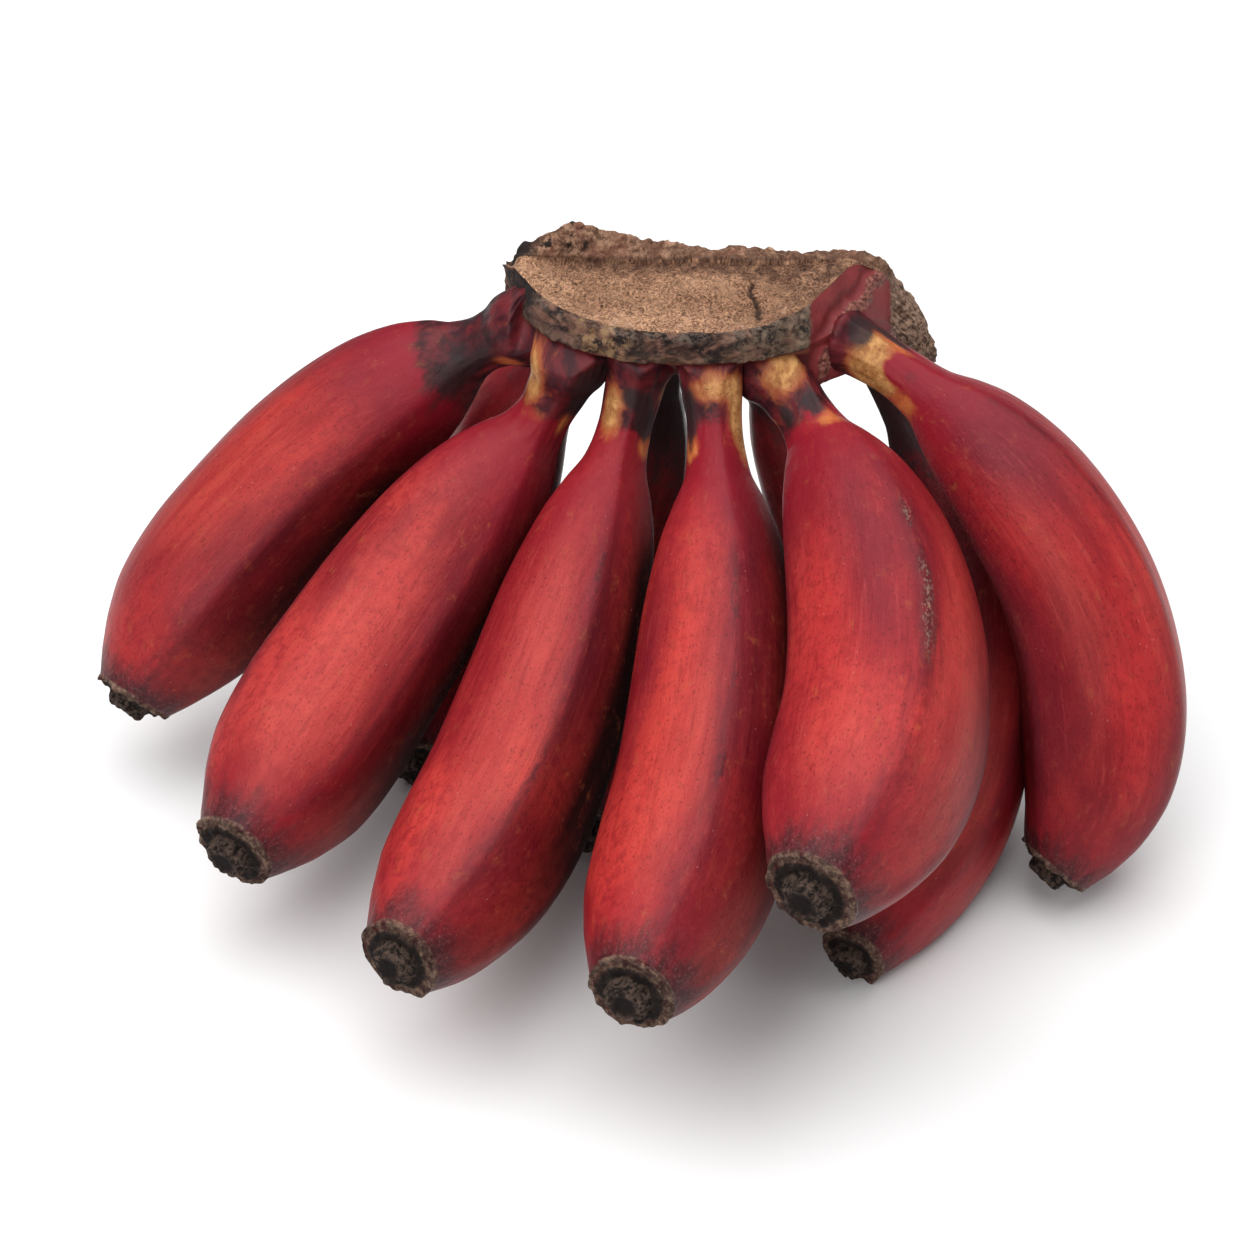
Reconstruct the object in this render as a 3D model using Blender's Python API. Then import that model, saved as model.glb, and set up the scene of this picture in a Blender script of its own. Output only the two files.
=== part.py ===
"""A hand of red bananas: two rows of fingers grown from one cut crown, lying on the backs of the lower row.

+Z is up and the finger tips point to -Y. The origin is on the surface, under the middle of the hand.
Lengths in the tables are millimetres and angles are degrees.
"""
import math

import bmesh
import bpy
from mathutils import Vector

MM = 0.001

# How the hand lies: the cut face of the crown leans this far towards the finger tips.
LEAN = math.radians(12)
FORWARD = Vector((0, -math.cos(LEAN), -math.sin(LEAN)))
DOWN = Vector((0, math.sin(LEAN), -math.cos(LEAN)))
LEFT = Vector((-1, 0, 0))
CUT_CENTRE = Vector((12.96, 54.1, 135))

# Fingers, left to right.
# Root place (right, down and ahead from the cut), spread from straight down at the root and the tip, turn to
# the left at the tip, bend forward at the root and the tip, length, width, roll of the ridges, share of
# the length that is neck, how soon the spread eases to its value at the tip.
FRONT_FINGERS = (
    (-43.3, 17.5, -4, 55, 36.5, 13, -12, 46, 145, 45.7, 25, 0.10, 0.6),
    (-29.5, 19.4, 8.3, 18.5, 54.5, 28.5, 7, 88.5, 156, 46, 40, 0.125, 5.6),
    (-10.8, 14, 10.5, 13, 28.5, 37, 27.5, 103, 178, 42.8, 20, 0.15, 3.6),
    (6.5, 10.6, 11.9, -6, 0, 23, 43, 99, 179.5, 44, 20, 0.17, 0.6),
    (23.3, 18.2, 9.6, -64, -55, 24, 54, 98.5, 165, 48, 4, 0.135, 0.55),
    (39.5, 13.3, 2, -79, 24, 35.5, 32, 40.5, 162, 43.8, -28, 0.17, 0.66),
)
BACK_FINGERS = (
    (-30, 14.6, -17.8, 12.5, 25, 8, -39, 85.5, 162.3, 40.8, 0, 0.125, 1.2),
    (-8.6, 15.4, -13.2, 7, 7, 6, -22, 93.7, 163.8, 36.5, 0, 0.18, 2),
    (23.3, 15.5, -16.3, -18, 2, 0, -38, 89.6, 160.8, 40.4, 0, 0.12, 0.55),
    (39.2, 14.5, -14.8, -48, -5, 33.5, 13.3, 88.5, 192, 36.5, 0, 0.08, 2.8),
)
BEND_EASE = 1.4
LINE_STEPS = 240

# Half-width along a finger, as a share of its widest: root, neck, shoulder, body, taper, blossom end.
PROFILE = (
    (0.00, 0.37), (0.05, 0.33), (0.09, 0.31), (0.14, 0.37), (0.18, 0.51), (0.23, 0.66), (0.30, 0.79), (0.38, 0.88),
    (0.50, 0.95), (0.62, 0.985), (0.74, 1.00), (0.84, 0.93), (0.91, 0.78), (0.96, 0.62), (1.00, 0.47),
)
NECK_PLACE = 0.14
RINGS = (
    0, 0.025, 0.05, 0.08, 0.11, 0.14, 0.17, 0.20, 0.24, 0.28, 0.33, 0.38, 0.44, 0.50,
    0.56, 0.62, 0.68, 0.74, 0.79, 0.84, 0.88, 0.915, 0.945, 0.975, 1,
)
# The root ring lies on the crown; the planes of the rings after it ease round to square across the finger.
EASED_RINGS = 6
# Blossom end: distance past the tip and share of the half-width, from the collar to the nub.
BLOSSOM = ((1.2, 0.45), (1.4, 0.36), (0.4, 0.31), (2.6, 0.29), (4.6, 0.20))

SIDES = 20
RIDGES = (-126, -54, 54, 126, 180)
RIDGE_HEIGHT = 0.045
RIDGE_WIDTH = 22

# Crown: a half-moon cushion, flat where it was cut, with a rim, a raised back edge and a dry flange.
# Each station: place across, front edge of the cut, front of the peel below it, top, underside, raised back.
CROWN_STATIONS = (
    (-45, -17, -8, 4, 13, -1),
    (-42, -10, 0, 1, 18, 0),
    (-36, 1, 7, 0, 21, 4),
    (-28, 8, 12, 0, 21, 8),
    (-15, 14, 16, 0, 18, 4),
    (0, 16, 17, 0, 18, 1),
    (15, 14.5, 17, 0, 18, 0),
    (28, 8, 16, 0, 20, -1),
    (36, -1, 13, 0, 20, -1),
    (43, -11, 9, 1, 20, 0),
    (49, -14, 1, 5, 21, 1),
    (54, -15, -8, 11, 28, 1),
    (59, -15, -12, 19, 35, 1),
    (64, -16, -14, 28, 38, 1),
)
CHORD = -13
CROWN_BACK = -25
BACK_DROP = 8
RIM_HEIGHT, RIM_SWELL = 8, 2.5
CROWN_RINGS = 42
SEGMENT_CUTS = 3
ROOT_GAP = 1.5
ROOT_RINGS = 8

PEEL_COLOURS = {
    "banana_front_1": (0.50, 0.047, 0.045),
    "banana_front_2": (0.54, 0.078, 0.070),
    "banana_front_3": (0.58, 0.085, 0.082),
    "banana_front_4": (0.52, 0.058, 0.058),
    "banana_front_5": (0.53, 0.060, 0.066),
    "banana_front_6": (0.33, 0.028, 0.036),
    "banana_back_1": (0.25, 0.020, 0.020),
    "banana_back_2": (0.25, 0.020, 0.020),
    "banana_back_3": (0.25, 0.020, 0.020),
    "banana_back_4": (0.27, 0.022, 0.026),
}
CROWN_COLOUR = (0.30, 0.17, 0.10)


def clear_scene():
    for obj in list(bpy.data.objects):
        bpy.data.objects.remove(obj, do_unlink=True)


def material(name, colour, roughness):
    mat = bpy.data.materials.new(name)
    mat.use_nodes = True
    shader = mat.node_tree.nodes["Principled BSDF"]
    shader.inputs["Base Color"].default_value = (*colour, 1)
    shader.inputs["Roughness"].default_value = roughness
    shader.inputs["Metallic"].default_value = 0
    return mat


def smooth_value(place, table):
    """The value at a place along a table of (place, value) pairs, joined by smooth curves."""
    slopes = []
    for i, (here, value) in enumerate(table):
        before, after = table[max(i - 1, 0)], table[min(i + 1, len(table) - 1)]
        slopes.append((after[1] - before[1]) / (after[0] - before[0]))
    i = 0
    while i < len(table) - 2 and place > table[i + 1][0]:
        i += 1
    (x0, y0), (x1, y1) = table[i], table[i + 1]
    u = min(max((place - x0) / (x1 - x0), 0), 1)
    swing_in, swing_out = slopes[i] * (x1 - x0), slopes[i + 1] * (x1 - x0)
    rise = u * u * (3 - 2 * u)
    return y0 + (y1 - y0) * rise + swing_in * u * (1 - u) ** 2 - swing_out * u * u * (1 - u)


def width_share(place, neck):
    """Share of a finger's width at a place along it, for one whose neck takes up the given share of it."""
    if place < neck:
        return smooth_value(place / neck * NECK_PLACE, PROFILE)
    return smooth_value(NECK_PLACE + (place - neck) / (1 - neck) * (1 - NECK_PLACE), PROFILE)


def root_of(spec):
    """Where a finger leaves the crown, and the direction its root ring faces: halfway to its own bend."""
    across, drop, ahead, spread = spec[:4]
    half_bend = math.radians(spec[6] / 2)
    place = CUT_CENTRE - LEFT * across + DOWN * drop + FORWARD * ahead
    outward = LEFT * math.sin(math.radians(spread)) + DOWN * math.cos(math.radians(spread))
    return place, outward * math.cos(half_bend) + FORWARD * math.sin(half_bend)


def finger_line(spec):
    """Point, direction and inner side at even steps along a finger's middle."""
    spread_root, spread_tip, turn_tip, bend_root, bend_tip, length = spec[3:9]
    spread_ease = spec[12]
    point = root_of(spec)[0]
    line = []
    for i in range(LINE_STEPS + 1):
        t = i / LINE_STEPS
        spread = math.radians(spread_tip - (spread_tip - spread_root) * (1 - t) ** spread_ease)
        bend = math.radians(bend_tip - (bend_tip - bend_root) * (1 - t) ** BEND_EASE)
        turn = math.radians(turn_tip * t * t)
        outward = LEFT * math.sin(spread) + DOWN * math.cos(spread)
        onward = FORWARD * math.cos(turn) + LEFT * math.sin(turn)
        along = (outward * math.cos(bend) + onward * math.sin(bend)).normalized()
        inner = onward * math.cos(bend) - outward * math.sin(bend)
        inner = (inner - along * inner.dot(along)).normalized()
        line.append((point.copy(), along, inner))
        point += along * (length / LINE_STEPS)
    return line


def ridge_shape(angle):
    """Radius of a five-ridged section at an angle in degrees from the inner side, near 1."""
    lift = 0
    for ridge in RIDGES:
        away = (angle - ridge + 180) % 360 - 180
        lift += math.exp(-((away / RIDGE_WIDTH) ** 2))
    return 1 + RIDGE_HEIGHT * (lift - 0.55)


def finger_rings(spec):
    """Rings of points from a finger's root to the end of its nub."""
    line = finger_line(spec)
    half_width, roll, neck = spec[9] / 2, spec[10], spec[11]
    facing = root_of(spec)[1]
    last = line[-1]
    stops = [(line[round(t * LINE_STEPS)], half_width * width_share(t, neck)) for t in RINGS]
    stops += [((last[0] + last[1] * past, last[1], last[2]), half_width * share) for past, share in BLOSSOM]
    rings = []
    for number, ((centre, along, inner), radius) in enumerate(stops):
        side = along.cross(inner)
        plane = facing.lerp(along, min(number / EASED_RINGS, 1))
        ring = []
        for k in range(SIDES):
            angle = 360 * k / SIDES
            reach = radius * ridge_shape(angle)
            turned = math.radians(angle + roll)
            point = centre + (inner * math.cos(turned) + side * math.sin(turned)) * reach
            point -= along * ((point - centre).dot(plane) / along.dot(plane))
            ring.append(point)
        rings.append(ring)
    return rings


def rest_on_surface(point):
    """Flattens what would sink into the surface the hand lies on."""
    return Vector((point.x, point.y, max(point.z, 0)))


def solid(name, rings, colour, roughness):
    """A closed, smooth-shaded body through rings of points in millimetres, with flat ends."""
    bm = bmesh.new()
    loops = [[bm.verts.new(rest_on_surface(point) * MM) for point in ring] for ring in rings]
    count = len(rings[0])
    for near, far in zip(loops, loops[1:]):
        for k in range(count):
            after = (k + 1) % count
            bm.faces.new((near[k], near[after], far[after], far[k]))
    bm.faces.new(loops[0][::-1])
    bm.faces.new(loops[-1])
    if bm.calc_volume(signed=True) < 0:
        bmesh.ops.reverse_faces(bm, faces=bm.faces)
    mesh = bpy.data.meshes.new(name)
    for face in bm.faces:
        face.smooth = len(face.verts) == 4
    bmesh.ops.triangulate(bm, faces=bm.faces[:])
    bm.to_mesh(mesh)
    bm.free()
    mesh.materials.append(material(name, colour, roughness))
    obj = bpy.data.objects.new(name, mesh)
    bpy.context.scene.collection.objects.link(obj)
    return obj


def crown_section(across):
    """Corners of the crown's section at a place across it, as (forward, down), from the front underside."""
    cut, peel, top, under, ridge = (
        smooth_value(across, [(station[0], station[column]) for station in CROWN_STATIONS])
        for column in range(1, 6)
    )
    rim = max(cut + RIM_SWELL, (cut + peel) / 2 + RIM_SWELL)
    height = min(RIM_HEIGHT, 0.7 * (under - top))
    chord = min(CHORD, cut - 1)
    return (
        (peel, under),
        (rim, top + height),
        (cut + 0.6 * RIM_SWELL, top + 1),
        (cut, top),
        (chord, top),
        (chord - 4, top - ridge),
        (CROWN_BACK + 3, top + min(BACK_DROP, height)),
        (CROWN_BACK, under - 1),
        (CROWN_BACK + 2, under),
    )


def crown_rings():
    """Sections of the crown from left to right, before the fingers' roots are cut into it."""
    left, right = CROWN_STATIONS[0][0], CROWN_STATIONS[-1][0]
    rings = []
    for i in range(CROWN_RINGS + 1):
        across = left + (right - left) * i / CROWN_RINGS
        corners = crown_section(across)
        ring = []
        for here, after in zip(corners, corners[1:] + corners[:1]):
            for k in range(SEGMENT_CUTS):
                forward = here[0] + (after[0] - here[0]) * k / SEGMENT_CUTS
                down = here[1] + (after[1] - here[1]) * k / SEGMENT_CUTS
                ring.append(CUT_CENTRE - LEFT * across + FORWARD * forward + DOWN * down)
        rings.append(ring)
    return rings


def socket_rings(spec):
    """The root end of a finger, grown by the gap that keeps the crown clear of it."""
    facing = root_of(spec)[1]
    grown = []
    for number, ring in enumerate(finger_rings(spec)[:ROOT_RINGS]):
        centre = sum(ring, Vector()) / len(ring)
        back = facing * ROOT_GAP if number == 0 else Vector()
        grown.append([point + (point - centre).normalized() * ROOT_GAP - back for point in ring])
    return grown


def cut_socket(body, spec):
    """Cuts a finger's root out of the crown."""
    tool = solid("socket", socket_rings(spec), CROWN_COLOUR, 1)
    cut = body.modifiers.new("cut", "BOOLEAN")
    cut.operation = "DIFFERENCE"
    cut.solver = "EXACT"
    cut.use_self = True
    cut.object = tool
    bpy.context.view_layer.objects.active = body
    bpy.ops.object.modifier_apply(modifier=cut.name)
    bpy.data.objects.remove(tool, do_unlink=True)


def main():
    clear_scene()
    crown = solid("crown", crown_rings(), CROWN_COLOUR, 0.85)
    for row, fingers in (("front", FRONT_FINGERS), ("back", BACK_FINGERS)):
        for number, spec in enumerate(fingers, start=1):
            name = f"banana_{row}_{number}"
            solid(name, finger_rings(spec), PEEL_COLOURS[name], 0.45)
            cut_socket(crown, spec)


main()
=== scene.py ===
"""Dresses the hand of red bananas: fine skin, necks and tips on every finger, a fibrous cut crown, soft light.

Built in millimetres and degrees like the part, then written in metres. Each finger is one mesh that follows
the same centre line as its solid; the crown is a fine loft of the same stations.
"""
import math
from collections import namedtuple

import bmesh
import bpy
import numpy as np
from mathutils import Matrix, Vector, noise


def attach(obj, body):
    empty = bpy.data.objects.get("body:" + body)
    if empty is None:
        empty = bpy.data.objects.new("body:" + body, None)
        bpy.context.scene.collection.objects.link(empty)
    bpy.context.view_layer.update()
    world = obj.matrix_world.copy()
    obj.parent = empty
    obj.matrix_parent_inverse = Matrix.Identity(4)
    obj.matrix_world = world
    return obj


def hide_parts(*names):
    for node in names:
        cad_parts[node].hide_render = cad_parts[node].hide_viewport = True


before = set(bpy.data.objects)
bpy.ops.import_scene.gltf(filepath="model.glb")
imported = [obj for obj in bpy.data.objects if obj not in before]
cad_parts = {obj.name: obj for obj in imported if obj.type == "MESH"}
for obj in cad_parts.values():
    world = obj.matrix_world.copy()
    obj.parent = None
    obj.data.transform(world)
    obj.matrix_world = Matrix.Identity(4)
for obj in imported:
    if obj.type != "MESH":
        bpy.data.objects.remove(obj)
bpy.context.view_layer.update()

MM = 0.001

# The crown's own directions: the cut leans towards the viewer.
LEAN = math.radians(12)
FORWARD = Vector((0, -math.cos(LEAN), -math.sin(LEAN)))
DOWN = Vector((0, math.sin(LEAN), -math.cos(LEAN)))
LEFT = Vector((-1, 0, 0))
CUT_CENTRE = Vector((12.96, 54.1, 135))

# Root place on the crown (right, down, ahead), spread at root and tip, turn, bend at root and tip, length
# round the curve, width, roll of the ridges, share of the length that is neck, how the spread eases to the tip.
Finger = namedtuple("Finger", (
    "across drop ahead spread_root spread_tip turn_tip bend_root bend_tip "
    "length width roll neck_share spread_ease"
))
FINGERS = {name: Finger(*values) for name, values in {
    "banana_front_1": (-43.3, 17.5, -4, 55, 36.5, 13, -12, 46, 145, 45.7, 25, 0.10, 0.6),
    "banana_front_2": (-29.5, 19.4, 8.3, 18.5, 54.5, 28.5, 7, 88.5, 156, 46, 40, 0.125, 5.6),
    "banana_front_3": (-10.8, 14, 10.5, 13, 28.5, 37, 27.5, 103, 178, 42.8, 20, 0.15, 3.6),
    "banana_front_4": (6.5, 10.6, 11.9, -6, 0, 23, 43, 99, 179.5, 44, 20, 0.17, 0.6),
    "banana_front_5": (23.3, 18.2, 9.6, -64, -55, 24, 54, 98.5, 165, 48, 4, 0.135, 0.55),
    "banana_front_6": (39.5, 13.3, 2, -79, 24, 35.5, 32, 40.5, 162, 43.8, -28, 0.17, 0.66),
    "banana_back_1": (-30, 14.6, -17.8, 12.5, 25, 8, -39, 85.5, 162.3, 40.8, 0, 0.125, 1.2),
    "banana_back_2": (-8.6, 15.4, -13.2, 7, 7, 6, -22, 93.7, 163.8, 36.5, 0, 0.18, 2),
    "banana_back_3": (23.3, 15.5, -16.3, -18, 2, 0, -38, 89.6, 160.8, 40.4, 0, 0.12, 0.55),
    "banana_back_4": (39.2, 14.5, -14.8, -48, -5, 33.5, 13.3, 88.5, 192, 36.5, 0, 0.08, 2.8),
}.items()}
BEND_EASE = 1.4

# Half-width along a finger: share of the length, share of the full half-width. The neck ends at NECK_PLACE.
PROFILE = (
    (0.00, 0.37), (0.05, 0.33), (0.09, 0.31), (0.14, 0.37), (0.18, 0.51),
    (0.23, 0.66), (0.30, 0.79), (0.38, 0.88), (0.50, 0.95), (0.62, 0.985),
    (0.74, 1.00), (0.84, 0.93), (0.91, 0.78), (0.96, 0.62), (1.00, 0.47),
)
NECK_PLACE = 0.14

# Section: where the ridges stand round it in degrees, and how flat its wide sides and its narrow ones are.
RIDGES = (-126, -54, 54, 126, 180)
WIDE_FLATNESS, FLATNESS = 0.20, 0.58
WIDE_SIDE = 40
SECTION_SCALE = 1.04
ROOT_FLARE = 0.22

# Rings of a finger's mesh: up to the shoulder, along the body, down the taper, then points round each ring.
SHOULDER, TAPER = 0.18, 0.9
NECK_ROWS, BODY_ROWS, TAPER_ROWS = 66, 94, 39
AROUND = 120

# Blossom end: distance past the tip in millimetres and share of the half-width.
TIP_PROFILE = (
    (0.4, 0.462), (0.8, 0.458), (1.2, 0.448), (1.4, 0.430), (1.2, 0.410), (1.1, 0.388), (1.4, 0.362),
    (1.8, 0.335), (2.0, 0.308), (1.9, 0.282), (1.8, 0.258), (2.2, 0.242), (3.0, 0.236), (3.9, 0.228),
    (4.7, 0.212), (5.3, 0.186), (5.5, 0.152), (5.2, 0.118), (4.9, 0.084), (5.0, 0.050), (4.9, 0.020),
)

# Each station: place across, front edge of the cut, front of the peel below it, top, underside, raised back.
CROWN_STATIONS = (
    (-45, -17, -8, 4, 13, -1),
    (-42, -10, 0, 1, 18, 0),
    (-36, 1, 7, 0, 21, 4),
    (-28, 8, 12, 0, 21, 8),
    (-15, 14, 16, 0, 18, 4),
    (0, 16, 17, 0, 18, 1),
    (15, 14.5, 17, 0, 18, 0),
    (28, 8, 16, 0, 20, -1),
    (36, -1, 13, 0, 20, -1),
    (43, -11, 9, 1, 20, 0),
    (49, -14, 1, 5, 21, 1),
    (54, -15, -8, 11, 28, 1),
    (59, -15, -12, 19, 35, 1),
    (64, -16, -14, 28, 38, 1),
)

# Back edge of the cut, back of the crown and how far down its upper edge lies, height and swell of the rim,
# rows along the loft, and where the flange begins.
CHORD = -13
CROWN_BACK = -25
BACK_DROP = 8
RIM_HEIGHT, RIM_SWELL = 8, 2.5
CROWN_ROWS = 270
FLANGE_START = 54

# The corky cord where the last neck begins, from the back of the crown to its front: (across, ahead).
CORD = ((53.5, -18.5), (34, 13))


# ---------------------------------------------------------------- shape helpers

def smooth_table(places, table):
    """Values at places along a table of (place, value) pairs, joined by smooth curves."""
    xs = np.array([row[0] for row in table], float)
    ys = np.array([row[1] for row in table], float)
    slopes = np.empty(len(xs))
    slopes[1:-1] = (ys[2:] - ys[:-2]) / (xs[2:] - xs[:-2])
    slopes[0] = (ys[1] - ys[0]) / (xs[1] - xs[0])
    slopes[-1] = (ys[-1] - ys[-2]) / (xs[-1] - xs[-2])
    places = np.clip(np.asarray(places, float), xs[0], xs[-1])
    i = np.clip(np.searchsorted(xs, places, side="right") - 1, 0, len(xs) - 2)
    gap = xs[i + 1] - xs[i]
    u = (places - xs[i]) / gap
    rise = u * u * (3 - 2 * u)
    return (ys[i] + (ys[i + 1] - ys[i]) * rise + slopes[i] * gap * u * (1 - u) ** 2
            - slopes[i + 1] * gap * u * u * (1 - u))


def ease(low, high, values):
    """Smooth step from 0 at low to 1 at high; low may be above high."""
    share = np.clip((np.asarray(values, float) - low) / (high - low), 0, 1)
    return share * share * (3 - 2 * share)


def noise_field(points, scale, seed, octaves=3):
    """Soft noise between about -1 and 1 at points in millimetres; scale is the size of its lumps."""
    offset = Vector((seed * 17.3, seed * -9.1, seed * 5.7))
    return np.array([
        noise.fractal(Vector(point) / scale + offset, 1.0, 2.0, octaves) for point in points
    ])


def profile_place(places, neck):
    """Where along the profile each place along a finger falls, for a neck of the given share."""
    before = places / neck * NECK_PLACE
    after = NECK_PLACE + (places - neck) / (1 - neck) * (1 - NECK_PLACE)
    return np.where(places < neck, before, after)


def line_distance(across, ahead, start, stop):
    """Distance to the right of a straight line on the crown, and the share of the way along it."""
    start, stop = np.array(start, float), np.array(stop, float)
    along = stop - start
    length = np.linalg.norm(along)
    along /= length
    from_start = np.stack([across, ahead], -1) - start
    return from_start @ np.array([along[1], -along[0]]), (from_start @ along) / length


def root_of(spec):
    """Middle of a finger's root, and the direction that its end face looks away from."""
    half_bend = math.radians(spec.bend_root / 2)
    spread = math.radians(spec.spread_root)
    place = CUT_CENTRE - LEFT * spec.across + DOWN * spec.drop + FORWARD * spec.ahead
    outward = LEFT * math.sin(spread) + DOWN * math.cos(spread)
    return place, outward * math.cos(half_bend) + FORWARD * math.sin(half_bend)


def finger_line(spec, steps=400):
    """Points, directions and inner sides at even steps along a finger's middle, as arrays."""
    point = root_of(spec)[0]
    centres, alongs, inners = [], [], []
    for i in range(steps + 1):
        t = i / steps
        spread_left = (spec.spread_tip - spec.spread_root) * (1 - t) ** spec.spread_ease
        spread = math.radians(spec.spread_tip - spread_left)
        bend = math.radians(spec.bend_tip - (spec.bend_tip - spec.bend_root) * (1 - t) ** BEND_EASE)
        turn = math.radians(spec.turn_tip * t * t)
        outward = LEFT * math.sin(spread) + DOWN * math.cos(spread)
        onward = FORWARD * math.cos(turn) + LEFT * math.sin(turn)
        along = (outward * math.cos(bend) + onward * math.sin(bend)).normalized()
        inner = onward * math.cos(bend) - outward * math.sin(bend)
        inner = (inner - along * inner.dot(along)).normalized()
        centres.append(tuple(point))
        alongs.append(tuple(along))
        inners.append(tuple(inner))
        point = point + along * (spec.length / steps)
    return np.array(centres), np.array(alongs), np.array(inners)


def ring_mesh(name, points, attributes, uv_rows):
    """A closed mesh through rings of points (rows, around, 3) in millimetres, with fans on both ends."""
    rows, around = points.shape[:2]
    verts = points.reshape(-1, 3)
    first, last = len(verts), len(verts) + 1
    verts = np.vstack([verts, points[0].mean(0), points[-1].mean(0)])
    faces, loops_uv = [], []
    for i in range(rows - 1):
        for k in range(around):
            j = (k + 1) % around
            faces.append((i * around + k, i * around + j, (i + 1) * around + j, (i + 1) * around + k))
            u0, u1 = k / around, (k + 1) / around
            loops_uv += [(u0, uv_rows[i]), (u1, uv_rows[i]), (u1, uv_rows[i + 1]), (u0, uv_rows[i + 1])]
    for k in range(around):
        j = (k + 1) % around
        faces.append((first, j, k))
        faces.append((last, (rows - 1) * around + k, (rows - 1) * around + j))
        loops_uv += [(k / around, uv_rows[0])] * 3 + [(k / around, uv_rows[-1])] * 3
    mesh = bpy.data.meshes.new(name)
    mesh.from_pydata([tuple(v * MM) for v in verts], [], faces)
    layer = mesh.uv_layers.new(name="skin")
    layer.data.foreach_set("uv", np.array(loops_uv, np.float32).ravel())
    for key, values in attributes.items():
        values = np.vstack([values, values[:1], values[-1:]])
        if values.shape[1] == 3:
            data = mesh.attributes.new(key, "FLOAT_VECTOR", "POINT").data
            data.foreach_set("vector", values.astype(np.float32).ravel())
        else:
            data = mesh.attributes.new(key, "FLOAT", "POINT").data
            data.foreach_set("value", values.astype(np.float32).ravel())
    mesh.shade_smooth()
    bm = bmesh.new()
    bm.from_mesh(mesh)
    if bm.calc_volume(signed=True) < 0:
        bmesh.ops.reverse_faces(bm, faces=bm.faces[:])
        bm.to_mesh(mesh)
    bm.free()
    return mesh


# ---------------------------------------------------------------- fingers

# How far each neck runs back into the crown, and where its own skin gives way to the body's.
NECKS = {
    "banana_front_1": (12, 20),
    "banana_front_2": (11, 8),
    "banana_front_3": (5.5, 14),
    "banana_front_4": (3, 14),
    "banana_front_5": (8, 16),
    "banana_front_6": (10, 9),
    "banana_back_1": (3, 30),
    "banana_back_2": (3, 30),
    "banana_back_3": (3, 30),
    "banana_back_4": (1, 24),
}

# Further turn of the upper row's ridges, in degrees, beyond the solids' roll.
RIDGE_TURN = {
    "banana_front_1": 42, "banana_front_2": 16, "banana_front_3": 35,
    "banana_front_4": 18, "banana_front_5": -30, "banana_front_6": 7,
}

# The lower row's necks stay thin for longer and lean sideways: share of the length that is neck, how far to the
# right the neck and the middle of the body lie from the solid's line, and how far along the neck's lean fades.
BACK_NECKS = {
    "banana_back_1": (0.22, 6.0, 0.0, 62),
    "banana_back_2": (0.20, 6.5, 0.0, 100),
    "banana_back_3": (0.30, -14.0, 0.0, 95),
    "banana_back_4": (0.20, -2.5, 5.5, 55),
}

# Patches on the necks: distance from the root, angle round from the inner side (left is positive), half-length,
# half-angle, strength. A negative strength clears the patches under it.
TAN = {
    "banana_front_2": ((2, 70, 7, 30, 1.1),),
    "banana_front_3": ((12, 52, 6.5, 28, 1.0), (6, -78, 6, 18, 0.5)),
    "banana_front_4": ((7, -15, 3.5, 55, 0.8), (14, -62, 8, 24, 1.1), (22, -80, 6, 22, 0.9)),
    "banana_front_5": ((3, -55, 6, 45, 1.0),),
    "banana_front_6": ((10, -34, 5, 58, 1.2), (15, 5, 6, 34, 1.0), (18, -32, 3.5, 20, -1.2)),
    "banana_back_4": ((12, 60, 6, 40, 0.4),),
}
ORANGE = {
    "banana_front_1": ((2, -18, 4, 26, 0.9),),
    "banana_front_2": ((11, -42, 4, 20, 0.9), (11, 40, 3, 30, 0.4)),
    "banana_front_3": ((17, 48, 4, 28, 0.6), (20, -58, 4, 22, 1.0)),
    "banana_front_4": ((23.5, 62, 4, 26, 1.0), (26, -80, 4, 20, 0.6)),
    "banana_front_5": ((14, 38, 7, 14, 0.6), (23, -72, 4, 22, 0.6)),
    "banana_front_6": ((14, -95, 5, 26, 0.8), (24, 15, 6, 24, 0.7)),
}
SOOT_AND_PAINTED_SHADE = {
    "banana_front_1": ((8, 38, 12, 40, 0.6), (4, 118, 10, 26, 0.9), (18, 0, 12, 30, 0.6)),
    "banana_front_2": ((-3, -48, 8, 48, 1.1), (5, -58, 6, 34, 1.0)),
    "banana_front_3": ((6.5, 4, 3.5, 30, 0.85), (11, -28, 5, 25, 1.0), (15.5, -52, 4.5, 24, 1.0)),
    "banana_front_4": ((13, 58, 7, 30, 0.85), (20, 66, 5, 20, 0.6)),
    "banana_front_5": ((13.5, -5, 4, 14, 0.9), (16.5, -60, 4.5, 22, 0.85), (3, 20, 6, 30, 0.35)),
    "banana_front_6": ((5, -72, 3.5, 42, 1.1), (13, -118, 6, 24, 0.9), (22, -44, 3, 14, 0.35)),
    # The lower row's necks are painted black all round: painted shade.
    "banana_back_1": ((10, 0, 30, 220, 1.1),),
    "banana_back_2": ((14, 0, 42, 220, 1.1),),
    "banana_back_3": ((14, 0, 40, 220, 1.1),),
    "banana_back_4": ((14, 0, 40, 220, 1.1),),
}

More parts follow.
